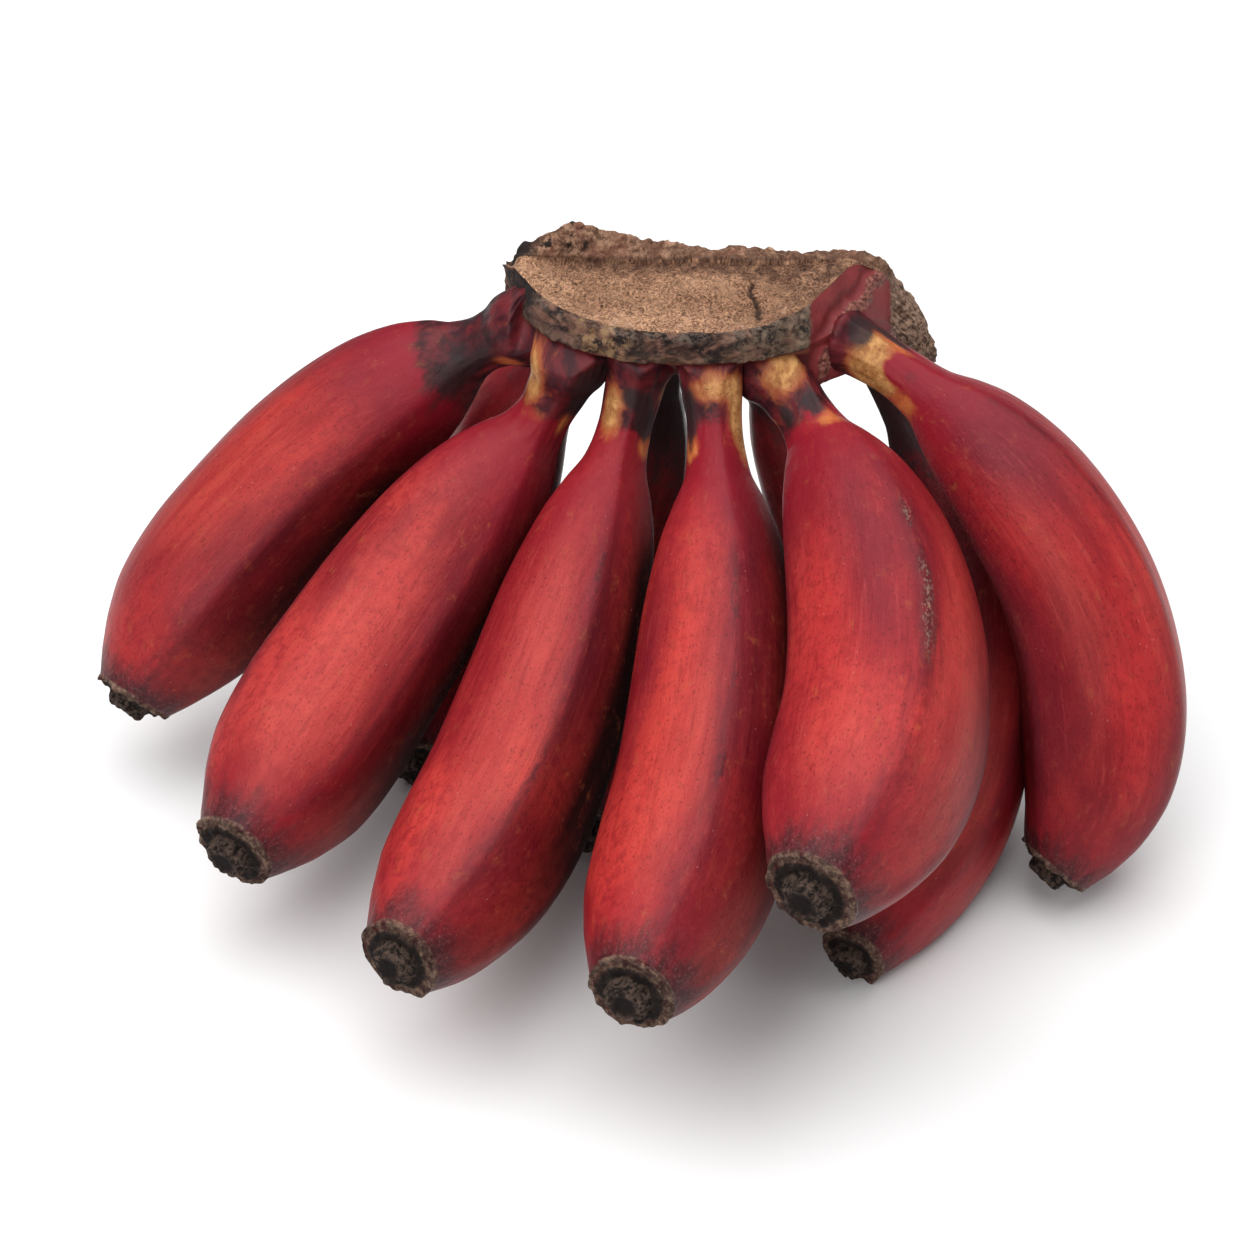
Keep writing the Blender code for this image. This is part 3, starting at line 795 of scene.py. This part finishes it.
def red_skin(n, look, straight, shift):
    """The mottled red of a finger, under its worn lines, its neck and its blossom end."""
    place, crest, painted_shade = n.attribute("place"), n.attribute("crest"), n.attribute("painted_shade")
    body, long_grain = n.mapped(straight, (1, 1, 1), shift), n.mapped(straight, (1, 1, 0.12), shift)
    fine_grain = n.mapped(straight, (1, 1, 0.045), shift)
    streaks = n.noise(fine_grain, 0.75, 4, 0.65)
    hairs = n.noise(fine_grain, 2.6, 3, 0.6)
    mottle = n.noise(body, 0.33, 4, 0.6)

    # Clouds of red, rosy and garnet patches, painted highlights in warm orange, bruised places, fine streaks,
    # hairs and pores.
    clouds = n.grit(n.mapped(straight, (1, 1, 0.40), shift), 0.05, 3, 0.5, 0.38, 0.62)
    colour = n.blend(clouds, tuple(0.78 * part for part in look.deep), look.light)
    colour = n.over(colour, (0.50, 0.055, 0.043), n.grit(long_grain, 0.14, 4, 0.6, 0.48, 0.72), 0.28)
    colour = n.over(colour, (0.22, 0.009, 0.016), n.step(mottle, 0.44, 0.66), 0.55)
    uneven = n.math("MULTIPLY_ADD", n.noise(long_grain, 0.12, 3, 0.5), 1.3, 0.30)
    patchy = n.grit(long_grain, 0.30, 4, 0.6, 0.36, 0.66)
    # Painted highlights: warm orange where the highlight patches lie.
    painted_highlight_tint = n.blend(patchy, (0.47, 0.056, 0.044), (0.58, 0.092, 0.066))
    colour = n.over(colour, painted_highlight_tint, n.attribute("painted_highlight"), uneven, 0.60)
    purple = n.blend(mottle, (0.085, 0.007, 0.017), (0.20, 0.022, 0.040))
    colour = n.over(colour, purple, n.attribute("bruise"), uneven, 0.80)
    colour = n.over(colour, (0.60, 0.120, 0.095), n.step(streaks, 0.55, 0.72), 0.16)
    colour = n.over(colour, (0.13, 0.005, 0.010), n.step(streaks, 0.48, 0.28), 0.30)
    colour = n.over(colour, (0.62, 0.130, 0.105), n.step(hairs, 0.58, 0.72), 0.12)
    colour = n.over(colour, (0.10, 0.005, 0.009), n.step(hairs, 0.46, 0.32), 0.16)
    pores = n.grit(n.mapped(straight, (1, 1, 0.6), shift), 1.6, 3, 0.6, 0.44, 0.32)
    colour = n.over(colour, (0.09, 0.004, 0.008), pores, 0.50)

    # Bloom and bruising along the ridges, deepening over the shoulder and towards the tip.
    soft_crest = n.times(n.step(crest, 0.0, 0.9), n.grit(long_grain, 0.22, 4, 0.6, 0.32, 0.62))
    colour = n.over(colour, (0.105, 0.012, 0.020), soft_crest, look.bloom)
    ragged = n.jagged(place, n.noise(long_grain, 0.10, 4, 0.6), 0.20)
    colour = n.over(colour, (0.24, 0.010, 0.024), n.step(ragged, 0.36, 0.16), 0.72)
    colour = n.over(colour, (0.24, 0.014, 0.026), n.step(ragged, 0.86, 1.0), 0.55)

    # A slightly deeper tint all over, then painted shade on the sides that face a neighbour and on the back.
    colour = n.blend(1.0, colour, (0.96, 0.84, 0.88), "MULTIPLY")
    steady = n.math("MULTIPLY_ADD", n.noise(long_grain, 0.12, 3, 0.5), 0.4, 0.80)
    colour = n.over(colour, n.blend(1.0, colour, (0.055, 0.012, 0.022), "MULTIPLY"), painted_shade, steady)

    # Pin-prick specks and pale flecks.
    pin = n.cells(n.mapped(straight, (1, 1, 0.5), shift), 0.42)
    pinned = n.grit(body, 0.12, 2, 0.55, 0.50, 0.62)
    colour = n.over(colour, (0.10, 0.012, 0.012), n.step(pin, 0.12, 0.05), pinned, 0.6)
    flake = n.cells(n.mapped(straight, (1, 1, 0.4), (shift[1], shift[2], shift[0])), 0.62)
    flaking = n.grit(body, 0.08, 2, 0.55, 0.50, 0.64)
    colour = n.over(colour, (0.66, 0.30, 0.25), n.step(flake, 0.11, 0.03), flaking, 0.40)
    grain = n.noise(body, 2.2, 4, 0.7)
    colour = n.blend(0.12, colour, n.blend(grain, (0.02, 0.0, 0.0), (1.0, 0.45, 0.40)), "OVERLAY")
    return colour, mottle, grain, streaks


def worn_and_necks(n, colour, mottle, straight, shift):
    """Worn lines along the ridges, then the neck: maroon, with straw, orange and sooty patches, and painted
    shade.
    """
    body = n.mapped(straight, (1, 1, 1), shift)
    blotchy = n.mapped(straight, (1, 1, 0.6), shift)
    line_wear = n.grit(n.mapped(straight, (1, 1, 0.35), shift), 0.7, 4, 0.7, 0.34, 0.62)
    colour = n.over(colour, (0.075, 0.012, 0.016), n.step(n.attribute("dark"), 0.10, 0.75), line_wear, 0.85)
    dots = n.grit(blotchy, 1.5, 3, 0.7, 0.50, 0.60)
    colour = n.over(colour, (0.27, 0.165, 0.125), n.step(n.attribute("cork"), 0.18, 0.6), dots, 0.85)

    # Every patch's edge is broken up by the same noise.
    edge = n.noise(blotchy, 0.30, 5, 0.68, 0.5)
    patches = ("neck", "tan", "orange", "black")
    neck, tan, orange, black = (n.jagged(n.attribute(key), edge, 1.1) for key in patches)
    maroon = n.blend(n.grit(body, 0.22, 4, 0.6, 0.36, 0.64), (0.035, 0.007, 0.011), (0.125, 0.015, 0.019))
    colour = n.blend(n.step(neck, 0.25, 0.75), colour, maroon)
    amber = n.blend(n.step(mottle, 0.36, 0.66), (0.44, 0.095, 0.035), (0.56, 0.190, 0.050))
    colour = n.over(colour, amber, n.step(orange, 0.12, 0.85), 0.9)
    rusty_edge = n.blend(mottle, (0.30, 0.050, 0.022), (0.40, 0.120, 0.040))
    colour = n.over(colour, rusty_edge, n.step(tan, 0.05, 0.45), 0.75)
    straw = n.blend(n.grit(body, 0.35, 5, 0.7, 0.34, 0.66), (0.30, 0.115, 0.035), (0.56, 0.290, 0.105))
    colour = n.blend(n.step(tan, 0.25, 0.95), colour, straw)
    specks = n.grit(body, 1.1, 3, 0.7, 0.60, 0.68)
    colour = n.over(colour, (0.10, 0.025, 0.015), specks, n.step(n.attribute("tan"), 0.2, 0.6), 0.75)
    # Sooty patches on the upper row's necks; the lower row's necks black all round as painted shade.
    soot_and_painted_shade = n.blend(n.noise(body, 0.8, 4, 0.7), (0.012, 0.007, 0.008), (0.045, 0.024, 0.026))
    return n.over(colour, soot_and_painted_shade, n.step(black, 0.18, 0.80), 0.94)


def blossom_end(n, colour, look, straight, shift):
    """A thin dark smudge, a crust ring, then the dry black nub with a painted brown highlight on its rim and a
    hollow middle.
    """
    body, long_grain = n.mapped(straight, (1, 1, 1), shift), n.mapped(straight, (1, 1, 0.12), shift)
    place, past, inward = n.attribute("place"), n.attribute("past"), n.attribute("inward")
    fray = n.jagged(place, n.noise(long_grain, 0.22, 5, 0.7), 0.13)
    rear = 1 - look.smudge
    smoke = n.blend(n.grit(body, 0.8, 4, 0.7, 0.45, 0.66), (0.018, 0.009, 0.011), (0.085, 0.026, 0.030))
    colour = n.over(colour, smoke, n.step(fray, rear - 0.03, rear + 0.05), 0.88)
    dust = n.grit(n.mapped(straight, (1, 1, 0.4), shift), 2.1, 3, 0.7, 0.60, 0.70)
    dusted = n.times(dust, n.step(fray, rear - 0.02, rear + 0.03), n.step(place, 1.002, 0.998))
    colour = n.over(colour, (0.30, 0.19, 0.17), dusted, 0.40)
    nub = n.blend(n.grit(body, 0.7, 4, 0.7, 0.40, 0.70), (0.010, 0.007, 0.006), (0.065, 0.038, 0.028))
    colour = n.blend(n.step(past, 0.9, 1.6), colour, nub)
    crust = n.grit(body, 0.40, 4, 0.65, 0.34, 0.56)
    flaky = n.blend(n.grit(body, 0.6, 4, 0.7, 0.40, 0.64), (0.070, 0.042, 0.032), (0.27, 0.175, 0.120))
    colour = n.over(colour, flaky, n.step(past, -0.3, 0.5), n.step(inward, 0.20, 0.10), crust, 0.75)
    # Painted highlight: a brown ring round the nub's rim.
    nub_painted_highlight = n.times(n.step(inward, 0.38, 0.46), n.step(inward, 0.74, 0.62))
    colour = n.over(colour, (0.120, 0.080, 0.062), nub_painted_highlight, n.grit(body, 0.7, 4, 0.7, 0.42, 0.60), 0.6)
    colour = n.over(colour, (0.010, 0.006, 0.006), n.step(inward, 0.19, 0.27), n.step(inward, 0.42, 0.34), 0.8)
    return n.over(colour, (0.008, 0.005, 0.005), n.step(inward, 0.68, 0.80), 0.85)


def peel_material(name, look, seed):
    n = Nodes(name + "_peel")
    straight = n.attribute("straight", "Vector")
    past, cork, painted_shade = n.attribute("past"), n.attribute("cork"), n.attribute("painted_shade")
    shift = (seed * 31.0, seed * 17.0, seed * 53.0)
    colour, mottle, grain, streaks = red_skin(n, look, straight, shift)
    colour = worn_and_necks(n, colour, mottle, straight, shift)
    n.set(n.shader.inputs["Base Color"], blossom_end(n, colour, look, straight, shift))

    # Satin skin, dull where it is dry or in painted shade.
    dry = n.math("MAXIMUM", n.step(past, 0.2, 1.2), n.times(n.step(cork, 0.1, 0.6), 0.6), clamp=True)
    satin = n.math("MULTIPLY_ADD", n.noise(n.mapped(straight, (1, 1, 0.12), shift), 0.5, 3), 0.22, 0.30)
    dull = n.math("MAXIMUM", n.times(dry, 0.85), n.times(painted_shade, 0.80))
    n.set(n.shader.inputs["Roughness"], n.math("MAXIMUM", satin, dull))
    n.set(n.shader.inputs["Specular IOR Level"], 0.16)
    height = n.math("ADD", n.times(grain, 0.5), n.times(streaks, 0.8))
    crumbs = n.noise(n.mapped(straight, (1, 1, 1), shift), 1.3, 5, 0.7)
    height = n.math("ADD", height, n.times(crumbs, dry, 5.0))
    n.set(n.shader.inputs["Normal"], n.bump(height, 0.00022, 0.8))
    return n.mat


def cut_fibre(n, own, across, ahead, crack):
    """Curly tan fibres of the cut, browner towards the back and the right, with painted shade in the crack."""
    curls = n.noise(own, 0.62, 5, 0.66, 2.6)
    clumps = n.noise(own, 0.14, 4, 0.6)
    fibre = n.blend(n.step(curls, 0.34, 0.66), (0.105, 0.040, 0.020), (0.80, 0.45, 0.265))
    fibre = n.over(fibre, (0.66, 0.40, 0.24), n.step(clumps, 0.46, 0.68), 0.35)
    fibre = n.over(fibre, (0.50, 0.23, 0.165), n.grit(own, 0.4, 4, 0.65, 0.54, 0.70), 0.35)
    slope = n.math("ADD", ahead, n.times(across, -0.12))
    back_edge = n.step(n.jagged(slope, clumps, 14.0), -3, -11)
    browner_back_and_right = n.math("MAXIMUM", back_edge, n.times(n.step(across, 19, 30), 0.8))
    browner_back_and_right = n.times(browner_back_and_right, n.step(across, -36, -20), n.grit(own, 0.25, 4, 0.65, 0.30, 0.58))
    brown = n.blend(n.step(curls, 0.36, 0.66), (0.045, 0.018, 0.011), (0.27, 0.130, 0.080))
    fibre = n.over(fibre, brown, browner_back_and_right, 0.90)
    pale = n.times(n.step(ahead, 6, 13), n.grit(own, 0.5, 4, 0.7, 0.58, 0.68))
    fibre = n.over(fibre, (0.70, 0.50, 0.42), pale, 0.6)
    # Painted shade: near black in the crack and on the torn fibres beside it.
    shred = n.times(n.grit(own, 0.35, 5, 0.7, 0.50, 0.64), n.step(crack, 0.05, 0.3))
    crack_painted_shade = n.math("MAXIMUM", n.times(n.step(crack, 0.35, 0.9), 0.85), n.times(shred, 0.7))
    return n.blend(crack_painted_shade, fibre, (0.030, 0.015, 0.012)), brown, curls


def old_fibre(n, own, across, crust, brown):
    """Crumbly fibre of the raised back and the underside, with a black crust on the lump."""
    crumbs = n.step(n.noise(own, 0.5, 6, 0.72, 0.8), 0.38, 0.66)
    old = n.blend(crumbs, (0.12, 0.055, 0.032), (0.60, 0.35, 0.225))
    old = n.over(old, (0.28, 0.105, 0.070), n.grit(own, 0.18, 4, 0.6, 0.46, 0.64), 0.5)
    old = n.over(old, brown, n.step(across, -22, -2), n.grit(own, 0.3, 4, 0.7, 0.34, 0.6), 0.75)
    return n.over(old, (0.028, 0.018, 0.015), n.step(crust, 0.2, 0.7), n.grit(own, 0.30, 4, 0.7, 0.50, 0.58))


def rim_bark(n, own, across, down):
    """Charcoal bark with brown mottling, gold flakes at the left, an olive crust at the right, a pale top edge.
    """
    mottles = n.noise(n.mapped(own, (0.5, 0.5, 1)), 0.26, 5, 0.68, 0.8)
    bark = n.blend(n.step(mottles, 0.42, 0.66), (0.022, 0.016, 0.016), (0.300, 0.155, 0.105))
    gold = n.times(n.step(across, -30, -24), n.step(across, -10, -17), n.grit(own, 0.34, 5, 0.7, 0.50, 0.58))
    bark = n.over(bark, (0.42, 0.26, 0.13), gold, 0.85)
    pinkish = n.times(n.step(across, -24, -30), n.step(down, 3, 6), n.grit(own, 0.2, 4, 0.7, 0.44, 0.56))
    bark = n.over(bark, (0.22, 0.115, 0.095), pinkish, 0.7)
    olive = n.times(n.step(n.noise(own, 0.30, 6, 0.75, 1.4), 0.44, 0.58), n.step(across, 8, 18))
    bark = n.over(bark, (0.30, 0.215, 0.145), olive, 0.65)
    low_edge = n.times(n.step(down, 4.5, 7.5), n.grit(own, 0.4, 5, 0.7, 0.40, 0.58))
    bark = n.over(bark, (0.20, 0.130, 0.080), low_edge, 0.6)
    # Pale along the top edge: partly pale flecks, partly a painted highlight.
    pale_edge_and_highlight = n.grit(n.mapped(own, (0.6, 1, 1)), 0.7, 4, 0.7, 0.47, 0.58)
    return n.over(bark, (0.40, 0.30, 0.23), n.step(down, 2.6, 1.2), pale_edge_and_highlight, 0.35)


def crown_material():
    n = Nodes("crown_cork")
    own = n.attribute("own", "Vector")
    cut, back, peel, flange = (n.attribute(key) for key in ("cut", "back", "peel", "flange"))
    crack, block, cord, crust = (n.attribute(key) for key in ("crack", "block", "cord", "crust"))
    split = n.tree.nodes.new("ShaderNodeSeparateXYZ")
    n.tree.links.new(own, split.inputs[0])
    across, ahead, down = split.outputs
    fibre, brown, curls = cut_fibre(n, own, across, ahead, crack)
    old = old_fibre(n, own, across, crust, brown)
    bark = rim_bark(n, own, across, down)

    # The left end is black, rim and back alike.
    left_end = n.times(n.step(across, -35, -39), n.step(down, 9, 6), n.grit(own, 0.3, 4, 0.7, 0.30, 0.50))
    bark = n.over(bark, (0.022, 0.015, 0.016), left_end, 0.9)
    old = n.blend(left_end, old, (0.025, 0.016, 0.015))

    # Red skin of the block, maroon under the rim, dry straw on the flange, cork on the cord.
    skin = n.blend(n.noise(own, 0.12, 4, 0.6), (0.115, 0.012, 0.016), (0.29, 0.035, 0.036))
    skin = n.over(skin, (0.30, 0.075, 0.060), n.grit(own, 0.5, 4, 0.7, 0.54, 0.72), 0.35)
    under_rim = n.blend(n.noise(own, 0.2, 4, 0.6), (0.030, 0.006, 0.008), (0.105, 0.016, 0.018))
    under_rim = n.over(under_rim, (0.26, 0.085, 0.055), n.step(down, 10.6, 9.4), 0.8)
    dry = n.grit(n.mapped(own, (0.25, 1.6, 0.9)), 0.9, 5, 0.7, 0.36, 0.64)
    straw = n.blend(dry, (0.090, 0.045, 0.030), (0.56, 0.36, 0.25))
    straw = n.over(straw, (0.14, 0.085, 0.065), n.grit(own, 0.12, 3, 0.6, 0.50, 0.66), 0.5)
    cork = n.blend(n.grit(own, 1.0, 4, 0.7, 0.40, 0.62), (0.075, 0.018, 0.015), (0.30, 0.110, 0.080))

    colour = n.blend(peel, bark, under_rim)
    colour = n.blend(back, colour, old)
    colour = n.blend(n.step(block, 0.3, 0.7), colour, skin)
    colour = n.blend(n.step(cord, 0.25, 0.6), colour, cork)
    colour = n.blend(n.step(flange, 0.3, 0.8), colour, straw)
    colour = n.blend(n.step(cut, 0.35, 0.65), colour, n.blend(n.step(flange, 0.1, 0.5), fibre, straw))
    # Painted shade: the colour darkened where the surface sinks.
    painted_hollow_shade = n.step(n.attribute("height"), 0.1, -1.0)
    colour = n.over(colour, n.blend(1.0, colour, (0.35, 0.28, 0.25), "MULTIPLY"), painted_hollow_shade, 0.45)
    n.set(n.shader.inputs["Base Color"], colour)

    # Dull and rough, but smoother where skin is left.
    smooth = n.math("MAXIMUM", peel, block)
    n.set(n.shader.inputs["Roughness"], n.math("SUBTRACT", 0.88, n.times(smooth, 0.38)))
    n.set(n.shader.inputs["Specular IOR Level"], 0.28)
    rough = n.math("ADD", n.times(curls, 1.0), n.times(n.noise(own, 2.2, 5, 0.75, 0.6), 0.6))
    calm = n.math("SUBTRACT", 1.0, n.times(smooth, 0.85))
    n.set(n.shader.inputs["Normal"], n.bump(n.times(rough, calm), 0.0011, 0.9))
    return n.mat


# ---------------------------------------------------------------- stage

# The camera looks down at the hand from the side of the tips. Places in metres, lens in millimetres.
TARGET = Vector((-0.00104, 0.0241, 0.0535))
CAMERA_ELEVATION = math.radians(35)
CAMERA_DISTANCE = 0.76
CAMERA_LENS, SENSOR_WIDTH = 85, 36
FLOOR_HALF = 4.0
FLOOR_WHITE = (0.90, 0.90, 0.90)
SKY_STRENGTH = 0.14

# Soft disk lights: place, what it looks at, width in metres, power in watts.
LIGHTS = {
    "overhead": ((-0.15, 0.05, 1.5), (0, 0, 0.05), 2.4, 40),
    "front_left": ((-0.7, -1.4, 1.1), (0, -0.15, 0.0), 1.1, 15),
    "right_panel": ((1.2, -0.3, 0.5), (0, 0, 0.06), 0.8, 2),
}


def plain_material(name, colour, roughness):
    n = Nodes(name)
    tint = n.noise(n.tree.nodes.new("ShaderNodeTexCoord").outputs["Object"], 3.0, 2)
    n.set(n.shader.inputs["Base Color"], n.blend(tint, colour, tuple(c * 0.995 for c in colour)))
    n.set(n.shader.inputs["Roughness"], roughness)
    n.set(n.shader.inputs["Specular IOR Level"], 0.2)
    return n.mat


def add_object(name, mesh):
    obj = bpy.data.objects.new(name, mesh)
    bpy.context.scene.collection.objects.link(obj)
    return obj


def aim(obj, target):
    obj.rotation_euler = (Vector(target) - obj.location).to_track_quat("-Z", "Y").to_euler()


def add_camera():
    data = bpy.data.cameras.new("camera")
    data.lens = CAMERA_LENS
    data.sensor_width = SENSOR_WIDTH
    camera = add_object("camera", data)
    back = Vector((0, -math.cos(CAMERA_ELEVATION), math.sin(CAMERA_ELEVATION)))
    camera.location = TARGET + back * CAMERA_DISTANCE
    aim(camera, TARGET)
    bpy.context.scene.camera = camera


def add_area(name, location, target, size, energy):
    data = bpy.data.lights.new(name, "AREA")
    data.shape = "DISK"
    data.size = size
    data.energy = energy
    light = add_object(name, data)
    light.location = location
    aim(light, target)


def add_stage():
    mesh = bpy.data.meshes.new("floor")
    corners = [(x * FLOOR_HALF, y * FLOOR_HALF, 0) for x, y in ((-1, -1), (1, -1), (1, 1), (-1, 1))]
    mesh.from_pydata(corners, [], [(0, 1, 2, 3)])
    floor = add_object("floor", mesh)
    mesh.materials.append(plain_material("white_sweep", FLOOR_WHITE, 0.8))
    for name, (location, target, size, energy) in LIGHTS.items():
        add_area(name, location, target, size, energy)
    world = bpy.data.worlds.new("studio")
    bpy.context.scene.world = world
    world.use_nodes = True
    sky = world.node_tree.nodes["Background"]
    sky.inputs["Color"].default_value = (1, 1, 1, 1)
    sky.inputs["Strength"].default_value = SKY_STRENGTH
    bpy.context.scene.view_settings.view_transform = "Standard"


def add_piece(node, mesh, material):
    """A finished skin in place of its solid."""
    mesh.materials.append(material)
    piece = add_object(node + "_skin", mesh)
    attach(piece, "root")
    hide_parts(node)


def main():
    add_camera()
    add_stage()
    for seed, (name, spec) in enumerate(FINGERS.items(), start=1):
        add_piece(name, finger_mesh(name, spec, seed), peel_material(name, LOOKS[name], seed))
    add_piece("crown", crown_mesh(), crown_material())


main()
